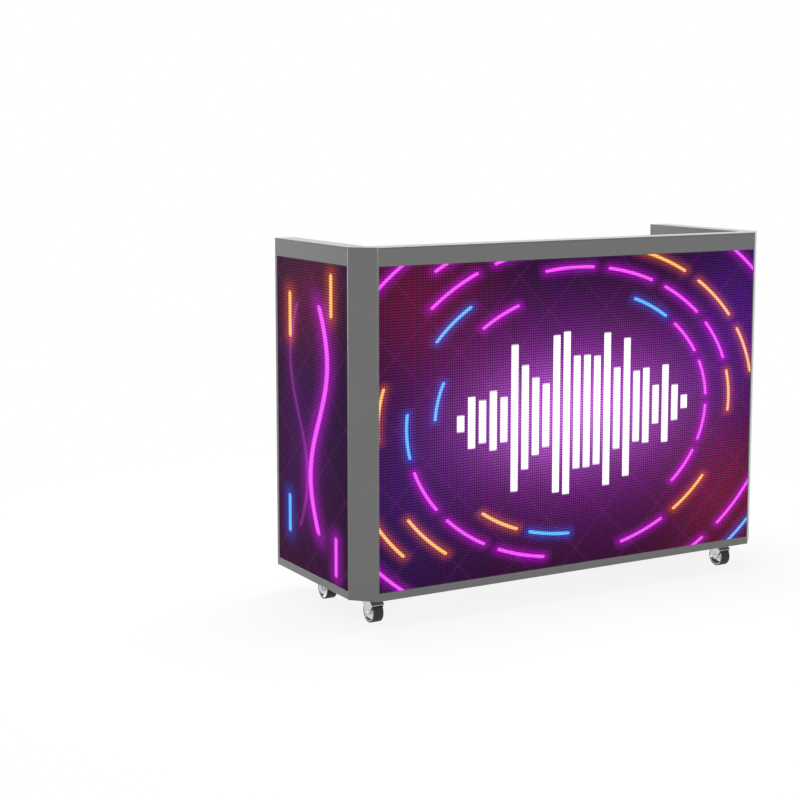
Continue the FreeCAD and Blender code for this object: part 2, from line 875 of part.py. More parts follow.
def castor_hub(place):
    """Hub with a bored boss and a flat rim, dished between them on both sides."""
    boss_half = fork_inner - fork_play / 3
    rim_half = hub_width / 2
    dish_half = rim_half - hub_dish
    bore = axle_radius + 2 * running_play
    rim = hub_radius - running_play
    half = [
        (boss_half, bore), (boss_half, boss_radius), (dish_half, boss_radius),
        (rim_half, rim - hub_rim), (rim_half, rim),
    ]
    return wheel_piece(place, half[::-1] + [(-along, out) for along, out in half])


def castor_tyre(place):
    """Broad flat tyre with sloping shoulders."""
    half = tyre_width / 2
    tread_half = half - tyre_shoulder
    shoulder = wheel_radius - tyre_shoulder
    return wheel_piece(place, [
        (-half, hub_radius), (-half, shoulder), (-tread_half, wheel_radius),
        (tread_half, wheel_radius), (half, shoulder), (half, hub_radius),
    ])


os.makedirs("parts", exist_ok=True)

post = corner_post()
save("corner_posts", post, mirrored(post))
post = rear_post()
save("rear_posts", post, mirrored(post))
save("top_cap", top_cap())

top_rail_z = (screen_high, cap_under)
bottom_rail_z = (base, screen_low)
save("front_top_rail", rail("front", top_rail_z))
save("front_bottom_rail", rail("front", bottom_rail_z))
side_rail = rail("left", top_rail_z)
save("side_top_rails", side_rail, mirrored(side_rail))
side_rail = rail("left", bottom_rail_z)
save("side_bottom_rails", side_rail, mirrored(side_rail))

panel_depth = (wall - sheet, wall)
panel_z = (base, cap_under)
save("front_inner_panel", wall_block("front", (inner_left, inner_right), panel_depth, panel_z))
side_panel = wall_block("left", (inner_front, side_wall_rear), panel_depth, panel_z)
save("side_inner_panels", side_panel, mirrored(side_panel))
strip = inner_corner_strip()
save("inner_corner_strips", strip, mirrored(strip))

side_modules = led_modules("left")
side_bars = module_bars("left")
side_supplies = power_supplies("left", side_supply_columns)
side_cards = receiving_cards("left", side_card_bars)
save("front_led_modules", *led_modules("front"))
save("left_led_modules", *side_modules)
save("right_led_modules", *[mirrored(module) for module in side_modules])
save("module_bars", *module_bars("front"), *side_bars, *[mirrored(bar) for bar in side_bars])
save("power_supplies", *power_supplies("front", front_supply_columns), *side_supplies,
     *[mirrored(supply) for supply in side_supplies])
save("receiving_cards", *receiving_cards("front", front_card_bars), *side_cards,
     *[mirrored(card) for card in side_cards])

save("worktop", worktop())
save("worktop_cleats", *worktop_cleats())
save("floor_pan", floor_pan())
save("floor_base", floor_plan(0, base).extrude(Vector(0, 0, sheet)))
save("control_box", control_box())
save("mains_inlet", mains_inlet())
save("rocker_frame", rocker_frame())
save("power_rocker", power_rocker())

save("pedestal_shell", pedestal_shell())
upper_z = (upper_front_low, upper_front_top)
lower_z = (lower_front_low, lower_front_top)
upper_packers, upper_outers = drawer("upper", upper_z, upper_pull_rise, upper_lock_drop)
lower_packers, lower_outers = drawer("lower", lower_z, lower_pull_rise, lower_lock_drop)
save("slide_packers", *upper_packers, *lower_packers)
save("slide_outers", *upper_outers, *lower_outers)
door()

castors = {
    "front_left": (left + castor_side_inset, front + castor_end_inset),
    "front_right": (right - castor_side_inset, front + castor_end_inset),
    "rear_left": (left + castor_side_inset, rear - castor_end_inset),
    "rear_right": (right - castor_side_inset, rear - castor_end_inset),
}
save("castor_plates", *[castor_plate_and_pin(place) for place in castors.values()])
for corner, spot in castors.items():
    save(corner + "_fork", castor_fork(spot))
    save(corner + "_hub", castor_hub(spot))
    save(corner + "_tyre", castor_tyre(spot))
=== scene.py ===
import json
import math

import bmesh
import bpy
from bpy.props import FloatProperty, FloatVectorProperty, IntProperty, PointerProperty
from mathutils import Matrix, Vector


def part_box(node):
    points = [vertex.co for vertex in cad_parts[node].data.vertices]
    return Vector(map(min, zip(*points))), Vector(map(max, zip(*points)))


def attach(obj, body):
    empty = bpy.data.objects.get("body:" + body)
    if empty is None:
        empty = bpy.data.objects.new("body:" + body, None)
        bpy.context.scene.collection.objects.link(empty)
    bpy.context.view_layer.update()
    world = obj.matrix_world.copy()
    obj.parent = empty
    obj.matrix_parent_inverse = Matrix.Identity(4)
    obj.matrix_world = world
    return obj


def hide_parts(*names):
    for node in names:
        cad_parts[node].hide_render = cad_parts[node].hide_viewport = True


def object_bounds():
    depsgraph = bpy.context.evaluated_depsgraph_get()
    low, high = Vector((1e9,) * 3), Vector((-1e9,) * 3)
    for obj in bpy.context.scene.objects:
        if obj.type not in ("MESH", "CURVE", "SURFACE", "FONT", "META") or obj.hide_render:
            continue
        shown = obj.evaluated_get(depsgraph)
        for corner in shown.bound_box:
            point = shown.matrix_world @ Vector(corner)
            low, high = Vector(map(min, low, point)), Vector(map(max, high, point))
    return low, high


bl_info = {
    "name": "LED DJ booth",
    "version": (1, 0, 0),
    "blender": (4, 5, 0),
    "location": "View3D > Sidebar > Booth",
    "description": "Finishes the booth's paint, screens, fittings and castors, and sets its studio",
    "category": "Object",
}

# Metres, in the part's frame: the floor is z = 0, -Y faces the audience and +X is to its right.
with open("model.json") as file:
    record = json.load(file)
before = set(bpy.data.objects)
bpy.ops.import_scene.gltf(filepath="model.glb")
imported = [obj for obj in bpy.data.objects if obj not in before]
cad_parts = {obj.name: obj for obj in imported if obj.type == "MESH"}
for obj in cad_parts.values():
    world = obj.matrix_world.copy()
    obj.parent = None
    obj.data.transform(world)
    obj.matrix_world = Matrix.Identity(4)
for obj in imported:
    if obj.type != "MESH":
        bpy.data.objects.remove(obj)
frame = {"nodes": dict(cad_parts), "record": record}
cad_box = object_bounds()
nodes = frame["nodes"]
node_body = {node: body for body, names in frame["record"]["behaviour"]["bodies"].items() for node in names}
node_slot = {part["node"]: part["material_slot"] for part in frame["record"]["subparts"]}
corners = ("front_left", "front_right", "rear_left", "rear_right")
plates_low, plates_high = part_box("castor_plates")
screen_low, screen_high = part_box("front_led_modules")
side_low, side_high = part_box("left_led_modules")
front_columns, side_columns, module_rows = 6, 2, 6
bolt_sides, screw_sides = 6, 16


def colour_property(name, description, default):
    """A colour that a user can change, in linear light."""
    return FloatVectorProperty(name=name, description=description, subtype="COLOR", size=3, min=0, max=1,
                               default=default)


def length_property(name, description, default):
    """A length that a user can change, in metres."""
    return FloatProperty(name=name, description=description, subtype="DISTANCE", unit="LENGTH", min=0,
                         default=default)


def power_property(name, description, default):
    """A lamp's power that a user can change, in watts."""
    return FloatProperty(name=name, description=description, subtype="POWER", unit="POWER", min=0,
                         default=default)


class BOOTH_PG_paint(bpy.types.PropertyGroup):
    """Colours and texture of the powder coats."""

    frame: colour_property("Frame", "Posts, rails and cap", (0.097, 0.095, 0.093))
    inside: colour_property("Inside", "Inner walls, worktop and floor", (0.088, 0.086, 0.084))
    pedestal: colour_property("Pedestal", "Cabinet, drawers and door", (0.165, 0.150, 0.137))
    # Pulls: the pedestal's paint made lighter, as painted light that lifts the shaded backs of the recesses
    # towards the tone of the fronts.
    pulls_painted_lighter: colour_property("Pulls", "Recessed pulls", (0.215, 0.197, 0.180))
    control: colour_property("Control box", "Control box under the worktop", (0.016, 0.016, 0.017))
    grain: length_property("Grain", "Size of the coat's fine grain", 0.0014)
    relief: length_property("Relief", "Height of the coat's fine grain", 0.000016)


class BOOTH_PG_screen(bpy.types.PropertyGroup):
    """Pixels and lights of the screens."""

    columns: IntProperty(name="Columns", description="Pixels across each module", subtype="UNSIGNED", min=1,
                         default=30)
    rows: IntProperty(name="Rows", description="Pixels up each module", subtype="UNSIGNED", min=1,
                      default=20)
    brightness: FloatProperty(name="Brightness", description="Strength of the pixels", subtype="FACTOR",
                              min=0, default=1.0)
    louvre: length_property("Louvre", "Radius of the three-sided louvres between rows of pixels", 0.00035)
    dusk: colour_property("Dusk", "Ground colour at the left and top", (0.016, 0.003, 0.045))
    ember: colour_property("Ember", "Ground colour at the right and foot", (0.055, 0.004, 0.036))
    violet: colour_property("Violet", "Main strokes", (0.95, 0.12, 1.00))
    amber: colour_property("Amber", "Second strokes", (1.00, 0.62, 0.14))
    cyan: colour_property("Cyan", "Third strokes", (0.08, 0.60, 1.00))


class BOOTH_PG_fasteners(bpy.types.PropertyGroup):
    """Sizes of the bolts and screws."""

    bolt_radius: length_property("Bolt head", "Radius over the corners of a castor bolt's head", 0.0050)
    bolt_height: length_property("Bolt height", "Height of a castor bolt's head", 0.0035)
    screw_radius: length_property("Screw head", "Radius of a cross-head screw's head", 0.0032)
    screw_height: length_property("Screw height", "Height of a cross-head screw's head", 0.0016)


class BOOTH_PG_stage(bpy.types.PropertyGroup):
    """Camera and light of the studio."""

    eye: FloatVectorProperty(name="Eye", description="Place of the camera", subtype="TRANSLATION",
                             unit="LENGTH", size=3, default=(-2.9735, -4.3727, 1.4350))
    heading: FloatProperty(name="Heading", description="Direction of view, turned from +X to +Y",
                           subtype="ANGLE", unit="ROTATION", default=math.radians(60.148))
    dip: FloatProperty(name="Dip", description="How far the view looks down", subtype="ANGLE",
                       unit="ROTATION", default=math.radians(7.064))
    lens: FloatProperty(name="Lens", description="Focal length on a 36 mm sensor", unit="CAMERA",
                        min=1, default=76.11)
    rise: FloatProperty(name="Rise", description="Vertical lens shift", subtype="FACTOR", default=-0.08)
    key_power: power_property("Key", "Power of the lamp overhead", 80.0)
    fill_power: power_property("Fill", "Power of the lamp in front", 106.0)
    side_power: power_property("Side", "Power of the lamp at the left", 34.0)
    rear_power: power_property("Rear", "Power of the lamp behind", 135.0)
    sky: FloatProperty(name="Sky", description="Strength of the light from all round", subtype="FACTOR",
                       min=0, default=0.45)
    whiteness: FloatProperty(name="Whiteness", description="Share of the floor that stays white in shade",
                             subtype="FACTOR", min=0, max=1, default=0.86)
    fade: length_property("Fade", "Distance at which the floor is half way to plain white", 1.6)


class Field:
    """A value that a shader works out at each point, written with ordinary arithmetic."""

    def __init__(self, socket):
        self.socket = socket

    def math(self, operation, *others):
        tree = self.socket.id_data
        node = tree.nodes.new("ShaderNodeMath")
        node.operation = operation
        for entry, value in zip(node.inputs, (self, *others)):
            if isinstance(value, Field):
                tree.links.new(value.socket, entry)
            else:
                entry.default_value = value
        return Field(node.outputs[0])

    def __add__(self, other):
        return self.math("ADD", other)

    def __sub__(self, other):
        return self.math("SUBTRACT", other)

    def __mul__(self, other):
        return self.math("MULTIPLY", other)

    def __truediv__(self, other):
        return self.math("DIVIDE", other)

    def inverse(self):
        """One less this."""
        return self * -1 + 1

    def floor(self):
        return self.math("FLOOR")

    def cell(self):
        """How far this is from the middle of its unit cell."""
        return (self.math("FRACT") - 0.5).math("ABSOLUTE")

    def size(self):
        return self.math("ABSOLUTE")

    def sine(self):
        return self.math("SINE")

    def hypotenuse(self, other):
        return (self * self + other * other).math("SQRT")

    def fade(self, reach):
        """A light that falls off over a reach from where this is zero."""
        return (self / -reach).math("EXPONENT")

    def under(self, limit, soft):
        """One where this is under a limit, and zero past a soft edge."""
        return ((self - limit) / -soft + 0.5).math("MAXIMUM", 0.0).math("MINIMUM", 1.0)


class Finish:
    """A material's node tree, with one short call for each kind of node."""

    def __init__(self, name):
        self.material = bpy.data.materials.new(name)
        self.material.use_nodes = True
        self.tree = self.material.node_tree
        self.shader = self.tree.nodes["Principled BSDF"]
        self.place = self.tree.nodes.new("ShaderNodeTexCoord").outputs["Object"]

    def node(self, kind, inputs, **settings):
        node = self.tree.nodes.new(kind)
        for name, value in settings.items():
            setattr(node, name, value)
        for name, value in inputs.items():
            self.join(node.inputs[name], value)
        return node

    def join(self, entry, value):
        """Set an input, or link a field or socket to it."""
        if isinstance(value, Field):
            value = value.socket
        if isinstance(value, bpy.types.NodeSocket):
            self.tree.links.new(value, entry)
        else:
            entry.default_value = value

    def set(self, **values):
        """Set inputs of the main shader, named with underscores for spaces."""
        for name, value in values.items():
            self.join(self.shader.inputs[name.replace("_", " ")], value)

    def axes(self):
        """The three coordinates of the point."""
        split = self.node("ShaderNodeSeparateXYZ", {"Vector": self.place})
        return [Field(split.outputs[axis]) for axis in "XYZ"]

    def noise(self, size, detail=2.0, stretch=(1, 1, 1)):
        """Soft noise with features of a size in metres, which a stretch makes longer along an axis."""
        place = self.node("ShaderNodeMapping", {"Vector": self.place, "Scale": [1 / s for s in stretch]})
        node = self.node("ShaderNodeTexNoise",
                         {"Vector": place.outputs["Vector"], "Scale": 1 / size, "Detail": detail})
        return Field(node.outputs["Fac"])

    def random(self, *numbers):
        """A number from 0 to 1 that stays the same for the same whole numbers."""
        key = self.node("ShaderNodeCombineXYZ", dict(zip("XYZ", numbers)))
        node = self.node("ShaderNodeTexWhiteNoise", {"Vector": key.outputs["Vector"]})
        return Field(node.outputs["Value"])

    def between(self, share, low, high):
        """A colour that goes from low to high with a share."""
        node = self.node("ShaderNodeMix", {}, data_type="RGBA")
        factor, start, end = (node.inputs[number] for number in (0, 6, 7))
        self.join(factor, share)
        self.join(start, (*low, 1))
        self.join(end, (*high, 1))
        return node.outputs[2]

    def light(self, colour, amount):
        """A colour times a field, as a vector."""
        node = self.node("ShaderNodeVectorMath", {"Scale": amount}, operation="SCALE")
        self.join(node.inputs[0], colour)
        return node.outputs[0]

    def total(self, lights):
        """The sum of several lights."""
        result = lights[0]
        for other in lights[1:]:
            node = self.node("ShaderNodeVectorMath", {}, operation="ADD")
            self.join(node.inputs[0], result)
            self.join(node.inputs[1], other)
            result = node.outputs[0]
        return result

    def relief(self, height, distance):
        """Bump the surface by a field times a distance."""
        bump = self.node("ShaderNodeBump", {"Height": height, "Distance": distance, "Strength": 1.0})
        self.set(Normal=bump.outputs["Normal"])


def shaded(colour, factor):
    """A colour made darker or lighter."""
    return tuple(min(1.0, channel * factor) for channel in colour)


def powder_coat(name, colour, roughness, gloss):
    """Satin powder coat: fine grain, soft clouds in the gloss and a little dust in the colour."""
    paint = bpy.context.scene.booth_paint
    finish = Finish(name)
    clouds = finish.noise(size=0.22, detail=3.0)
    dust = finish.noise(size=paint.grain * 1.7, detail=1.0)
    satin = finish.noise(size=0.035, detail=4.0)
    spread = 0.10
    finish.set(
        Base_Color=finish.between(clouds * 0.7 + dust * 0.3, shaded(colour, 0.9), shaded(colour, 1.1)),
        Roughness=satin * spread + (roughness - spread / 2),
        Specular_IOR_Level=gloss,
    )
    finish.relief(finish.noise(size=paint.grain), paint.relief)
    return finish.material


def plated_metal(name, colour, roughness, streak):
    """Plated steel with fine drawn streaks along an axis and small changes of gloss."""
    finish = Finish(name)
    streak_stretch = 14
    bloom_spread, streak_spread, smoothest = 0.12, 0.06, roughness - 0.08
    stretch = [streak_stretch if axis == streak else 1 for axis in "XYZ"]
    streaks = finish.noise(size=0.0007, stretch=stretch)
    blooms = finish.noise(size=0.011, detail=3.0)
    finish.set(
        Base_Color=finish.between(blooms, shaded(colour, 0.9), shaded(colour, 1.05)),
        Metallic=1.0,
        Roughness=blooms * bloom_spread + streaks * streak_spread + smoothest,
    )
    finish.relief(streaks, distance=0.000006)
    return finish.material


def moulded_plastic(name, colour, roughness, gloss=0.5):
    """Moulded plastic with a fine spark-eroded grain."""
    finish = Finish(name)
    grain = finish.noise(size=0.0006)
    clouds = finish.noise(size=0.012)
    spread = 0.12
    finish.set(
        Base_Color=finish.between(clouds, shaded(colour, 0.8), shaded(colour, 1.25)),
        Roughness=grain * spread + (roughness - spread / 2),
        Specular_IOR_Level=gloss,
    )
    finish.relief(grain, distance=0.00003)
    return finish.material


def tyre_rubber(name):
    """Black rubber with a dull bloom and moulding grain."""
    finish = Finish(name)
    bloom = finish.noise(size=0.014, detail=4.0)
    grain = finish.noise(size=0.0009)
    finish.set(
        Base_Color=finish.between(bloom, (0.012, 0.012, 0.012), (0.036, 0.035, 0.034)),
        Roughness=bloom * 0.2 + 0.5,
        Specular_IOR_Level=0.35,
    )
    finish.relief(grain, distance=0.00005)
    return finish.material


def circuit_board(name):
    """Green solder mask with fine copper tracks under it."""
    finish = Finish(name)
    x, y, z = finish.axes()
    along_pitch, across_pitch = 0.0032, 0.0041
    along = ((x + y) / along_pitch).cell().under(0.18, soft=0.1)
    across = (z / across_pitch).cell().under(0.15, soft=0.1)
    tracks = along.math("MAXIMUM", across)
    finish.set(
        Base_Color=finish.between(tracks, (0.010, 0.070, 0.026), (0.030, 0.150, 0.060)),
        Roughness=tracks * 0.15 + 0.3,
    )
    finish.relief(tracks, distance=0.00003)
    return finish.material


class ScreenFace:
    """Lights of one screen: pixel grid, ground and strokes, in metres from the screen's middle."""

    def __init__(self, name, across, low, high, columns):
        self.look = bpy.context.scene.booth_screen
        self.finish = Finish(name)
        axes = self.finish.axes()
        width = high[across] - low[across]
        height = high.z - low.z
        across_pitch = width / columns / self.look.columns
        up_pitch = height / module_rows / self.look.rows
        steps = [(axes[across] - low[across]) / across_pitch, (axes[2] - low.z) / up_pitch]
        self.dots = [step.cell() for step in steps]
        self.u = axes[across] - (low[across] + high[across]) / 2
        self.v = axes[2] - (low.z + high.z) / 2
        self.half_width = width / 2
        self.half_height = height / 2
        self.lights = []
        self.cores = []

    def add(self, colour, amount):
        self.lights.append(self.finish.light(colour, amount))

    def add_core(self, colour, amount):
        """A light so bright that it blooms over the mask."""
        self.cores.append(self.finish.light(colour, amount))

    def ground(self):
        """Dark colours that drift into each other, with a faint lattice of diamonds."""
        slope, mottle = 0.22, 0.5
        drift = (self.u / self.half_width - self.v / self.half_height) * slope + 0.5
        drift = (drift + self.finish.noise(size=0.4) * mottle - mottle / 2).math("MAXIMUM", 0.0)
        self.add(self.look.dusk, drift.inverse().math("MAXIMUM", 0.0))
        self.add(self.look.ember, drift)
        lattice_pitch, lattice_reach, lattice_level = 0.21, 0.016, 0.05
        for slant in (self.u + self.v, self.u - self.v):
            line = (slant / lattice_pitch).cell() * -1 + 0.5
            self.add(self.look.violet, line.fade(lattice_reach) * lattice_level)

    def stroke(self, distance, colour, presence=1.0, width=0.0095):
        """A bright core with a soft halo of a deeper colour, by the distance from its line."""
        halo_reach, halo_level = width * 1.9, 0.42
        self.add_core(colour, distance.under(width / 2, soft=width / 3) * presence)
        halo = [channel ** 4 for channel in colour]
        self.add(halo, (distance * distance).fade(halo_reach ** 2) * presence * halo_level)

    def glow(self, place, reach, colour):
        """A soft oval patch of light."""
        sides = [(axis - middle) / size for axis, middle, size in zip((self.u, self.v), place, reach)]
        self.add(colour, (sides[0] * sides[0] + sides[1] * sides[1]).fade(1.0))

    def material(self):
        """Black mask with a lit square for each pixel, which dims the soft lights more than the cores."""
        pixel_half, pixel_edge = 0.37, 0.10
        soft_spill, core_spill = 0.25, 0.75
        finish = self.finish
        lit = self.dots[0].math("MAXIMUM", self.dots[1]).under(pixel_half, soft=pixel_edge)
        soft = finish.light(finish.total(self.lights), lit * (1 - soft_spill) + soft_spill)
        bright = finish.light(finish.total(self.cores), lit * (1 - core_spill) + core_spill)
        finish.set(
            Base_Color=finish.between(lit, (0.0015, 0.0015, 0.0018), (0.0045, 0.0040, 0.0050)),
            Roughness=lit * -0.25 + 0.62,
            Specular_IOR_Level=0.01,
            Emission_Color=finish.total([soft, bright]),
            Emission_Strength=self.look.brightness,
        )
        finish.relief(lit, distance=0.0003)
        return finish.material


def from_line(aside, along, half):
    """Distance from a line with round ends that reaches half its length each way."""
    return aside.hypotenuse((along.size() - half).math("MAXIMUM", 0.0))


def front_screen_face():
    """Audience screen: a white level meter in the middle, and rings of broken arcs about it."""
    face = ScreenFace("front_screen", 0, screen_low, screen_high, front_columns)
    look, finish = face.look, face.finish
    face.ground()
    widening = 1.35
    first, gap, count = 0.335, 0.070, 16
    ring_turn, arc_half = 0.37, 0.36
    shown_share, amber_share, cyan_from = 0.55, 0.26, 0.82
    crisp = 0.001
    across = face.u / widening
    radius = across.hypotenuse(face.v)
    slope = (across / widening).hypotenuse(face.v) / radius
    turn = face.v.math("ARCTAN2", across) / (2 * math.pi)
    ring = (radius - first) / gap
    index = ring.floor()
    sector = turn * count + index * ring_turn
    which = sector.floor().math("FLOORED_MODULO", float(count))
    chance = finish.random(index, which, 3.0)
    tone = finish.random(index, which, 8.0)
    overshoot = (sector.cell() - arc_half).math("MAXIMUM", 0.0) * radius * (2 * math.pi / count)
    distance = (ring.cell() * gap / slope).hypotenuse(overshoot)
    shown = chance.under(shown_share, crisp) * (radius * -1).under(-first, soft=0.002)
    amber = tone.under(amber_share, crisp)
    cyan = (tone * -1).under(-cyan_from, crisp)
    violet = (amber + cyan).inverse()
    for colour, share in ((look.amber, amber), (look.cyan, cyan), (look.violet, violet)):
        face.stroke(distance, colour, shown * share)

    bar_pitch, bar_half, bar_reach = 0.0375, 0.0125, 11.5
    swing_height, bar_height, stub_height = 0.13, 0.085, 0.012
    meter_white, meter_level = (1.0, 0.93, 1.0), 1.5
    step = face.u / bar_pitch + 0.5
    column = step.floor()
    swing = ((column * 0.83).sine() + (column * 2.1 + 1.3).sine() * 0.6).size()
    envelope = (column / bar_reach).math("POWER", 2.0).inverse().math("MAXIMUM", 0.0)
    height = (swing * swing_height + bar_height) * envelope + stub_height
    bar = step.cell() * bar_pitch
    inside = bar.under(bar_half, soft=0.002) * (face.v.size() - height).under(0.0, soft=0.006)
    inside = inside * column.size().under(bar_reach, soft=0.1)
    face.glow((0.0, 0.0), (0.44, 0.26), (0.35, 0.035, 0.45))
    face.glow((0.0, 0.0), (0.30, 0.13), (0.45, 0.16, 0.55))
    face.glow((-0.55, 0.36), (0.24, 0.20), (0.14, 0.006, 0.010))
    face.glow((0.58, -0.30), (0.22, 0.22), (0.16, 0.010, 0.012))
    face.glow((0.62, 0.22), (0.20, 0.26), (0.05, 0.006, 0.20))
    face.glow((-0.60, -0.22), (0.20, 0.26), (0.008, 0.006, 0.08))
    face.add_core(meter_white, inside * meter_level)
    return face.material()


def side_screen_face():
    """Side screens: one tall swaying stroke with a fainter echo, and short dashes."""
    face = ScreenFace("side_screen", 1, side_low, side_high, side_columns)
    look = face.look
    face.ground()
    waves, swing, half_height = 9.0, 0.055, 0.33
    main_place, echo_place = -0.045, 0.085
    sway = (face.v * waves).sine() * swing
    main = from_line(face.u + sway - main_place, face.v, half_height)
    echo = from_line(face.u - sway - echo_place, face.v, half_height)
    face.stroke(main, look.violet, width=0.024)
    face.stroke(echo, look.violet, presence=0.16, width=0.016)
    face.glow((0.0, 0.36), (0.20, 0.16), (0.10, 0.005, 0.008))
    face.glow((0.05, -0.05), (0.20, 0.30), (0.03, 0.004, 0.07))
    for place, level, half, colour in (
        (-0.125, 0.375, 0.055, look.amber),
        (0.14, 0.30, 0.06, look.amber),
        (0.15, -0.31, 0.05, look.cyan),
        (-0.15, -0.385, 0.05, look.violet),
    ):
        face.stroke(from_line(face.u - place, face.v - level, half), colour, width=0.018)
    return face.material()


def paint_nodes(finishes):
    """Give each CAD node the finish of its slot."""
    for node, slot in node_slot.items():
        if slot in finishes:
            materials = nodes[node].data.materials
            materials.clear()
            materials.append(finishes[slot])


def new_piece(name, mesh, material, body):
    """A finished piece at the origin, riding on a body."""
    piece = bpy.data.objects.new(name, mesh)
    bpy.context.scene.collection.objects.link(piece)
    mesh.materials.clear()
    mesh.materials.append(material)
    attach(piece, body)
    return piece


def turned_mesh(name, profile, middle, segments):
    """A ring turned about an axle along X, from its closed profile of places along and out from it."""
    shape = bmesh.new()
    rings = []
    for segment in range(segments):
        angle = 2 * math.pi * segment / segments
        out = Vector((0, math.cos(angle), math.sin(angle)))
        rings.append([shape.verts.new(middle + Vector((along, 0, 0)) + out * radius)
                      for along, radius in profile])
    count = len(profile)
    for ring, following in zip(rings, rings[1:] + rings[:1]):
        for point in range(count):
            shape.faces.new((ring[point], ring[(point + 1) % count], following[(point + 1) % count],
                             following[point]))
    bmesh.ops.recalc_face_normals(shape, faces=shape.faces)
    mesh = bpy.data.meshes.new(name)
    shape.to_mesh(mesh)
    shape.free()
    mesh.shade_smooth()
    sharp_from = 35
    mesh.set_sharp_from_angle(angle=math.radians(sharp_from))
    return mesh


def arc(middle, radius, start, end, steps):
    """Points of an arc in a profile, from one angle to another in degrees."""
    angles = [math.radians(start + (end - start) * step / steps) for step in range(steps + 1)]
    return [(middle[0] + radius * math.cos(a), middle[1] + radius * math.sin(a)) for a in angles]


def tyre_profile(half, outer, inner):
    """Broad tread with rounded shoulders and two shallow grooves."""
    bend, groove, groove_place = 0.0014, 0.0006, 0.36
    profile = [(half, inner)]
    profile += arc((half - bend, outer - bend), bend, 0, 90, steps=5)
    for place in (groove_place, -groove_place):
        middle = half * place
        profile += [(middle + groove, outer), (middle, outer - groove), (middle - groove, outer)]
    profile += arc((-half + bend, outer - bend), bend, 90, 180, steps=5)
    profile.append((-half, inner))
    return profile


def hub_profile(boss_half, rim_half, bore, outer):
    """Boss with a broken edge, a bowl that steepens towards the rim, and a flat band with soft edges."""
    boss, bowl, band, soft = 0.0090, 0.0090, 0.0030, 0.0006
    steps, steepness = 14, 2.2
    foot = rim_half - bowl
    lip = outer - band
    half = [(boss_half, bore), (boss_half, boss - 2 * soft), (boss_half - 2 * soft, boss)]
    half += arc((foot + 2 * soft, boss + 2 * soft), 2 * soft, -90, -180, steps=4)
    start = half[-1][1]
    for step in range(1, steps):
        share = step / steps
        half.append((foot + (bowl - soft) * share ** steepness, start + (lip - start) * share))
    half += arc((rim_half - soft, lip + soft), soft, -90, 0, steps=3)
    half += arc((rim_half - soft, outer - soft), soft, 0, 90, steps=3)
    return half + [(-along, out) for along, out in reversed(half)]


def softened(name, node, width, angle, material):
    """A copy of a CAD node with rounded edges in place of its sharp ones."""
    weld, flat = 1e-6, math.radians(1)
    shape = bmesh.new()
    shape.from_mesh(nodes[node].data)
    bmesh.ops.remove_doubles(shape, verts=shape.verts, dist=weld)
    bmesh.ops.dissolve_limit(shape, angle_limit=flat, verts=shape.verts, edges=shape.edges)
    mesh = bpy.data.meshes.new(name)
    shape.to_mesh(mesh)
    shape.free()
    mesh.shade_smooth()
    piece = new_piece(name, mesh, material, node_body[node])
    bevel = piece.modifiers.new("Soft edges", "BEVEL")
    bevel.width = width
    bevel.segments = 2
    bevel.limit_method = "ANGLE"
    bevel.angle_limit = math.radians(angle)
    bevel.harden_normals = True
    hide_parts(node)


class Nodes:
    """A geometry node tree with named inputs, and one short call for each kind of node."""

    def __init__(self, name, **kinds):
        self.tree = bpy.data.node_groups.new(name, "GeometryNodeTree")
        interface = self.tree.interface
        interface.new_socket("Places", in_out="INPUT", socket_type="NodeSocketGeometry")
        self.identifiers = {}
        for entry, kind in kinds.items():
            socket = interface.new_socket(entry, in_out="INPUT", socket_type="NodeSocket" + kind)
            self.identifiers[entry] = socket.identifier
        interface.new_socket("Shape", in_out="OUTPUT", socket_type="NodeSocketGeometry")
        self.given = self.node("NodeGroupInput", {}).outputs

    def node(self, kind, inputs, **settings):
        made = self.tree.nodes.new(kind)
        for setting, value in settings.items():
            setattr(made, setting, value)
        for entry, value in inputs.items():
            if isinstance(value, bpy.types.NodeSocket):
                self.tree.links.new(value, made.inputs[entry])
            else:
                made.inputs[entry].default_value = value
        return made

    def repeat(self, instance, rotation):
        """Set a shape on each place, make it real and give it its finish."""
        points = self.node("GeometryNodeMeshToPoints", {"Mesh": self.given["Places"]}).outputs[0]
        copies = self.node("GeometryNodeInstanceOnPoints",
                           {"Points": points, "Instance": instance, "Rotation": rotation}).outputs[0]
        real = self.node("GeometryNodeRealizeInstances", {"Geometry": copies}).outputs[0]
        painted = self.node("GeometryNodeSetMaterial", {"Geometry": real, "Material": self.given["Finish"]})
        self.node("NodeGroupOutput", {"Shape": painted.outputs[0]})

    def mesh(self, name, places, values):
        """The plain mesh that the tree makes on places, with values for its inputs."""
        seeds = bpy.data.meshes.new(name + "_places")
        seeds.from_pydata(places, [], [])
        holder = bpy.data.objects.new(name + "_holder", seeds)
        bpy.context.scene.collection.objects.link(holder)
        modifier = holder.modifiers.new("Repeat", "NODES")
        modifier.node_group = self.tree
        for entry, value in values.items():
            modifier[self.identifiers[entry]] = value
        graph = bpy.context.evaluated_depsgraph_get()
        mesh = bpy.data.meshes.new_from_object(holder.evaluated_get(graph), depsgraph=graph)
        bpy.data.objects.remove(holder)
        if not mesh.polygons:
            raise RuntimeError("nothing was made for " + name)
        mesh.name = name
        mesh.shade_flat()
        return mesh


def louvre_nodes(name):
    """Nodes for three-sided louvres, all turned alike."""
    build = Nodes(name, Radius="Float", Length="Float", Turn="Rotation", Finish="Material")
    prism = build.node("GeometryNodeMeshCylinder", {"Vertices": 3, "Radius": build.given["Radius"],
                                                    "Depth": build.given["Length"]}).outputs["Mesh"]
    build.repeat(prism, build.given["Turn"])
    return build


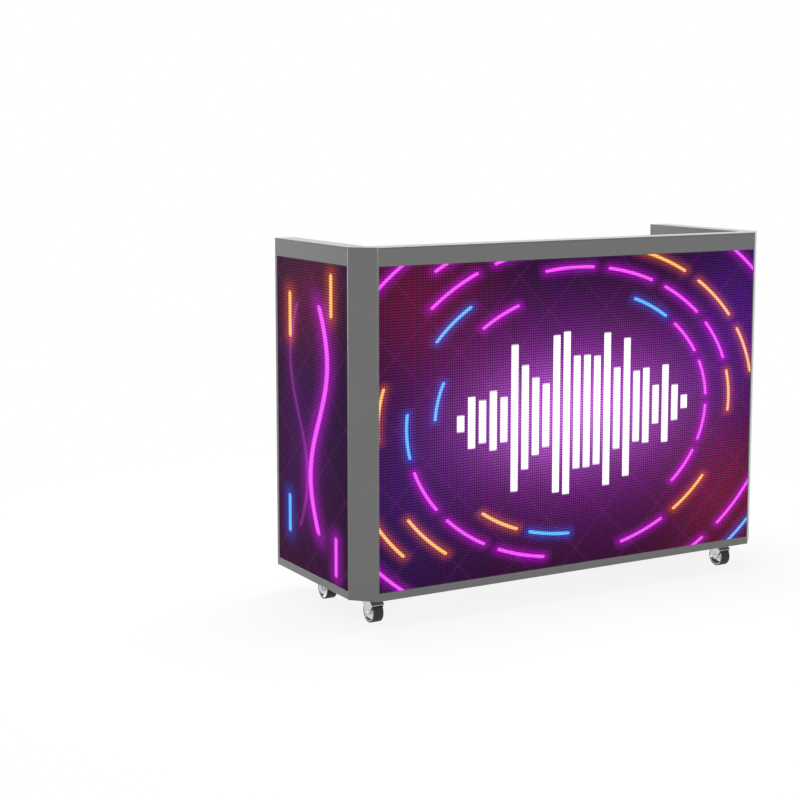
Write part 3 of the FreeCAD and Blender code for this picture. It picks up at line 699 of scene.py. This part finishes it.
def set_louvres(name, node, facing, along, material):
    """Louvres between the rows of pixels on a screen's face."""
    look = bpy.context.scene.booth_screen
    low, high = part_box(node)
    middle = (low + high) / 2
    half = (high - low) / 2
    face = middle + facing * (abs(half.dot(facing)) + look.louvre / 2)
    rows = module_rows * look.rows
    places = [Vector((face.x, face.y, low.z + (high.z - low.z) * row / rows)) for row in range(1, rows)]
    turn = Matrix((facing, along.cross(facing), along)).transposed().to_euler()
    build = louvre_nodes(name + "_nodes")
    mesh = build.mesh(name, places, {"Radius": look.louvre, "Length": 2 * abs(half.dot(along)),
                                     "Turn": turn, "Finish": material})
    new_piece(name, mesh, material, node_body[node])


def head_nodes(name, sides):
    """Nodes for six-sided bolt heads, or for rounder screw heads with a cross cut in them."""
    crown_share, cross_length, cross_breadth = 0.82, 1.1, 0.28
    build = Nodes(name, Radius="Float", Height="Float", Facing="Vector", Finish="Material")
    node, given = build.node, build.given

    def times_radius(share):
        """A share of the head's radius."""
        return node("ShaderNodeMath", {0: given["Radius"], 1: share}, operation="MULTIPLY").outputs[0]

    crown = times_radius(crown_share)
    head = node("GeometryNodeMeshCone", {"Vertices": sides, "Radius Top": crown, "Depth": given["Height"],
                                         "Radius Bottom": given["Radius"]}).outputs["Mesh"]
    if sides == screw_sides:
        top = node("ShaderNodeCombineXYZ", {"Z": given["Height"]}).outputs[0]
        long, thin = times_radius(cross_length), times_radius(cross_breadth)
        for width, breadth in ((long, thin), (thin, long)):
            size = node("ShaderNodeCombineXYZ", {"X": width, "Y": breadth, "Z": given["Height"]}).outputs[0]
            bar = node("GeometryNodeMeshCube", {"Size": size}).outputs["Mesh"]
            bar = node("GeometryNodeTransform", {"Geometry": bar, "Translation": top}).outputs[0]
            cut = node("GeometryNodeMeshBoolean", {"Mesh 1": head}, operation="DIFFERENCE", solver="EXACT")
            build.tree.links.new(bar, cut.inputs["Mesh 2"])
            head = cut.outputs[0]
    turn = node("FunctionNodeAlignRotationToVector", {"Vector": given["Facing"]}, axis="Z").outputs[0]
    build.repeat(head, turn)
    return build


def set_heads(name, places, facing, sides, radius, height, material):
    """Bolt or screw heads on the carcass, all with one facing."""
    build = head_nodes(name + "_nodes", sides)
    mesh = build.mesh(name, places,
                      {"Radius": radius, "Height": height, "Facing": facing, "Finish": material})
    new_piece(name, mesh, material, "carcass")


class BoothOperator:
    """Shared options of the booth's operators."""

    bl_options = {"REGISTER", "UNDO"}


class BOOTH_OT_paint(BoothOperator, bpy.types.Operator):
    """Powder coat the posts, rails, walls, worktop, pedestal and control box"""

    bl_idname = "booth.paint"
    bl_label = "Paint frame and pedestal"

    def execute(self, context):
        paint = context.scene.booth_paint
        paint_nodes({
            "frame_paint": powder_coat("frame_paint", paint.frame, roughness=0.19, gloss=0.85),
            "inner_paint": powder_coat("inner_paint", paint.inside, roughness=0.34, gloss=0.60),
            "pedestal_paint": powder_coat("pedestal_paint", paint.pedestal, roughness=0.34, gloss=0.36),
            # The pulls' colour is lighter than the pedestal's as painted light: it cancels part of the
            # shade inside the recesses.
            "pull_paint": powder_coat("pull_paint", paint.pulls_painted_lighter, roughness=0.45, gloss=0.36),
            "control_paint": powder_coat("control_paint", paint.control, roughness=0.55, gloss=0.30),
        })
        return {"FINISHED"}


class BOOTH_OT_screens(BoothOperator, bpy.types.Operator):
    """Light the screens and finish what stands behind them"""

    bl_idname = "booth.screens"
    bl_label = "Light screens"

    def execute(self, context):
        mask = moulded_plastic("screen_mask", (0.006, 0.006, 0.007), roughness=0.60, gloss=0.03)
        for node, facing, along in (
            ("front_led_modules", (0, -1, 0), (1, 0, 0)),
            ("left_led_modules", (-1, 0, 0), (0, 1, 0)),
            ("right_led_modules", (1, 0, 0), (0, 1, 0)),
        ):
            set_louvres(node.replace("led_modules", "louvres"), node, Vector(facing), Vector(along), mask)
        paint_nodes({
            "front_screen": front_screen_face(),
            "side_screen": side_screen_face(),
            "bar_aluminium": plated_metal("bar_aluminium", (0.62, 0.62, 0.62), roughness=0.42, streak="Z"),
            "supply_case": plated_metal("supply_case", (0.55, 0.56, 0.57), roughness=0.36, streak="X"),
            "circuit_board": circuit_board("circuit_board"),
        })
        return {"FINISHED"}


class BOOTH_OT_fittings(BoothOperator, bpy.types.Operator):
    """Finish the locks, drawer slides, mains inlet and rocker"""

    bl_idname = "booth.fittings"
    bl_label = "Finish fittings"

    def execute(self, context):
        paint_nodes({
            "lock_metal": plated_metal("lock_metal", (0.17, 0.158, 0.146), roughness=0.46, streak="Z"),
            "plug_metal": plated_metal("plug_metal", (0.15, 0.14, 0.13), roughness=0.44, streak="X"),
            "slide_steel": plated_metal("slide_steel", (0.56, 0.56, 0.57), roughness=0.34, streak="Y"),
            "inlet_plastic": moulded_plastic("inlet_plastic", (0.020, 0.020, 0.022), roughness=0.45),
            "rocker_plastic": moulded_plastic("rocker_plastic", (0.025, 0.025, 0.026), roughness=0.28),
        })
        return {"FINISHED"}


class BOOTH_OT_castors(BoothOperator, bpy.types.Operator):
    """Press the castors' forks with soft edges and turn their hubs and tyres"""

    bl_idname = "booth.castors"
    bl_label = "Make castors"

    def execute(self, context):
        rubber = tyre_rubber("tyre_rubber")
        hub_chrome = plated_metal("hub_chrome", (0.64, 0.64, 0.65), roughness=0.07, streak="X")
        fork_chrome = plated_metal("fork_chrome", (0.62, 0.62, 0.63), roughness=0.09, streak="Z")
        steel = plated_metal("castor_steel", (0.55, 0.55, 0.56), roughness=0.30, streak="X")
        paint_nodes({"castor_steel": steel})
        rim_inset, segments = 0.0005, 96
        edge_width, edge_angle = 0.0007, 40
        for corner in corners:
            softened(corner + "_fork_pressing", corner + "_fork", edge_width, edge_angle, fork_chrome)
            hub, tyre = corner + "_hub", corner + "_tyre"
            low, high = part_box(tyre)
            hub_low, hub_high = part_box(hub)
            middle = (low + high) / 2
            half, outer = (high.x - low.x) / 2, (high.z - low.z) / 2
            rim = (hub_high.z - hub_low.z) / 2
            bore = min((vertex.co - middle).yz.length for vertex in nodes[hub].data.vertices)
            for node, profile, finish in (
                (tyre, tyre_profile(half, outer, rim), rubber),
                (hub, hub_profile((hub_high.x - hub_low.x) / 2, half - rim_inset, bore, rim), hub_chrome),
            ):
                mesh = turned_mesh(node + "_turned", profile, middle, segments)
                piece = new_piece(node + "_turned", mesh, finish, node_body[node])
                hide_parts(node)
        return {"FINISHED"}


class BOOTH_OT_fasteners(BoothOperator, bpy.types.Operator):
    """Bolt on the castor plates and screw down the control box's lid"""

    bl_idname = "booth.fasteners"
    bl_label = "Drive fasteners"

    def execute(self, context):
        sizes = context.scene.booth_fasteners
        zinc = plated_metal("fastener_zinc", (0.58, 0.58, 0.57), roughness=0.28, streak="Z")
        black = plated_metal("fastener_black", (0.030, 0.030, 0.032), roughness=0.36, streak="Z")
        plate_half, plate_thickness, reach = 0.031, 0.003, 0.024
        under = plates_high.z - plate_thickness
        bolts = [(x + dx, y + dy, under)
                 for x in (plates_low.x + plate_half, plates_high.x - plate_half)
                 for y in (plates_low.y + plate_half, plates_high.y - plate_half)
                 for dx in (-reach, reach) for dy in (-reach, reach)]
        set_heads("castor_bolts", bolts, (0.0, 0.0, -1.0), bolt_sides, sizes.bolt_radius,
                  sizes.bolt_height, zinc)
        low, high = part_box("control_box")
        inset = 0.012
        lid = [(x, high.y, z) for x in (low.x + inset, (low.x + high.x) / 2, high.x - inset)
               for z in (low.z + inset, high.z - inset)]
        set_heads("control_box_screws", lid, (0.0, 1.0, 0.0), screw_sides, sizes.screw_radius,
                  sizes.screw_height, black)
        return {"FINISHED"}


class BOOTH_OT_stage(BoothOperator, bpy.types.Operator):
    """Set the pale floor, soft lamps, white surroundings and camera"""

    bl_idname = "booth.stage"
    bl_label = "Set stage"

    def execute(self, context):
        scene = context.scene
        stage = scene.booth_stage
        scene.view_settings.view_transform = "Standard"
        self.floor(stage)
        self.sky(scene, stage)
        for name, place, size, power in (
            ("key_lamp", (0.1, 0.2, 3.0), (1.5, 1.5), stage.key_power),
            ("fill_lamp", (-1.2, -5.4, 2.0), (2.6, 2.6), stage.fill_power),
            ("side_lamp", (-5.4, 1.15, 0.62), (0.7, 1.0), stage.side_power),
            ("rear_lamp", (-0.8, 5.4, 1.8), (2.6, 2.6), stage.rear_power),
        ):
            self.lamp(name, place, size, power)
        self.camera(scene, stage)
        return {"FINISHED"}

    def seen(self, tree):
        """One for rays that show the surroundings: straight to the camera, by gloss or through glass."""
        path = tree.nodes.new("ShaderNodeLightPath").outputs
        straight = Field(path["Is Camera Ray"])
        return straight.math("MAXIMUM", Field(path["Is Glossy Ray"])).math(
            "MAXIMUM", Field(path["Is Transmission Ray"]))

    def floor(self, stage):
        mesh = bpy.data.meshes.new("floor")
        reach = 14.0
        outline = [(-reach, -reach, 0), (reach, -reach, 0), (reach, reach, 0), (-reach, reach, 0)]
        mesh.from_pydata(outline, [], [(0, 1, 2, 3)])
        floor = bpy.data.objects.new("floor", mesh)
        bpy.context.scene.collection.objects.link(floor)
        finish = Finish("studio_floor")
        tree = finish.tree
        mottle = finish.noise(size=0.9, detail=3.0)
        tint = finish.between(mottle, (0.93, 0.93, 0.93), (0.97, 0.97, 0.97))
        matte = finish.node("ShaderNodeBsdfDiffuse", {"Color": tint})
        white = finish.node("ShaderNodeEmission", {"Color": (1, 1, 1, 1), "Strength": 1.0})
        x, y, _ = finish.axes()
        away = x.hypotenuse(y).under(stage.fade, stage.fade).inverse()
        share = self.seen(tree) * (away * (1 - stage.whiteness) + stage.whiteness)
        blend = finish.node("ShaderNodeMixShader", {0: share, 1: matte.outputs[0], 2: white.outputs[0]})
        tree.links.new(blend.outputs[0], tree.nodes["Material Output"].inputs["Surface"])
        tree.nodes.remove(finish.shader)
        mesh.materials.append(finish.material)

    def sky(self, scene, stage):
        world = bpy.data.worlds.new("studio_sky")
        world.use_nodes = True
        tree = world.node_tree
        strength = self.seen(tree) * (1.0 - stage.sky) + stage.sky
        tree.nodes["Background"].inputs["Color"].default_value = (1, 1, 1, 1)
        tree.links.new(strength.socket, tree.nodes["Background"].inputs["Strength"])
        scene.world = world

    def lamp(self, name, place, size, power):
        data = bpy.data.lights.new(name, "AREA")
        data.shape = "RECTANGLE"
        data.size, data.size_y = size
        data.energy = power
        lamp = bpy.data.objects.new(name, data)
        lamp.location = place
        target = (cad_box[0] + cad_box[1]) / 2
        lamp.rotation_euler = (target - lamp.location).to_track_quat("-Z", "Y").to_euler()
        bpy.context.scene.collection.objects.link(lamp)

    def camera(self, scene, stage):
        data = bpy.data.cameras.new("camera")
        data.sensor_width = 36
        data.lens = stage.lens
        data.shift_y = stage.rise
        camera = bpy.data.objects.new("camera", data)
        camera.location = stage.eye
        level = math.cos(stage.dip)
        ahead = Vector((math.cos(stage.heading) * level, math.sin(stage.heading) * level,
                        -math.sin(stage.dip)))
        camera.rotation_euler = ahead.to_track_quat("-Z", "Y").to_euler()
        scene.collection.objects.link(camera)
        scene.camera = camera


class BOOTH_PT_panel(bpy.types.Panel):
    """Steps that finish the booth"""

    bl_idname = "BOOTH_PT_panel"
    bl_label = "LED DJ booth"
    bl_space_type = "VIEW_3D"
    bl_region_type = "UI"
    bl_category = "Booth"

    def draw(self, context):
        for operator in operators:
            self.layout.operator(operator.bl_idname)
        for group in settings:
            box = self.layout.box()
            for name in settings[group].__annotations__:
                box.prop(getattr(context.scene, group), name)


settings = {
    "booth_paint": BOOTH_PG_paint,
    "booth_screen": BOOTH_PG_screen,
    "booth_fasteners": BOOTH_PG_fasteners,
    "booth_stage": BOOTH_PG_stage,
}
operators = (
    BOOTH_OT_paint,
    BOOTH_OT_screens,
    BOOTH_OT_fittings,
    BOOTH_OT_castors,
    BOOTH_OT_fasteners,
    BOOTH_OT_stage,
)
classes = (*settings.values(), *operators, BOOTH_PT_panel)


def register():
    for item in classes:
        bpy.utils.register_class(item)
    for name, group in settings.items():
        setattr(bpy.types.Scene, name, PointerProperty(type=group))


def unregister():
    for name in settings:
        delattr(bpy.types.Scene, name)
    for item in reversed(classes):
        bpy.utils.unregister_class(item)


def main():
    register()
    bpy.ops.booth.paint()
    bpy.ops.booth.screens()
    bpy.ops.booth.fittings()
    bpy.ops.booth.castors()
    bpy.ops.booth.fasteners()
    bpy.ops.booth.stage()
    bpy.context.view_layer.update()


if __name__ == "__main__":
    main()
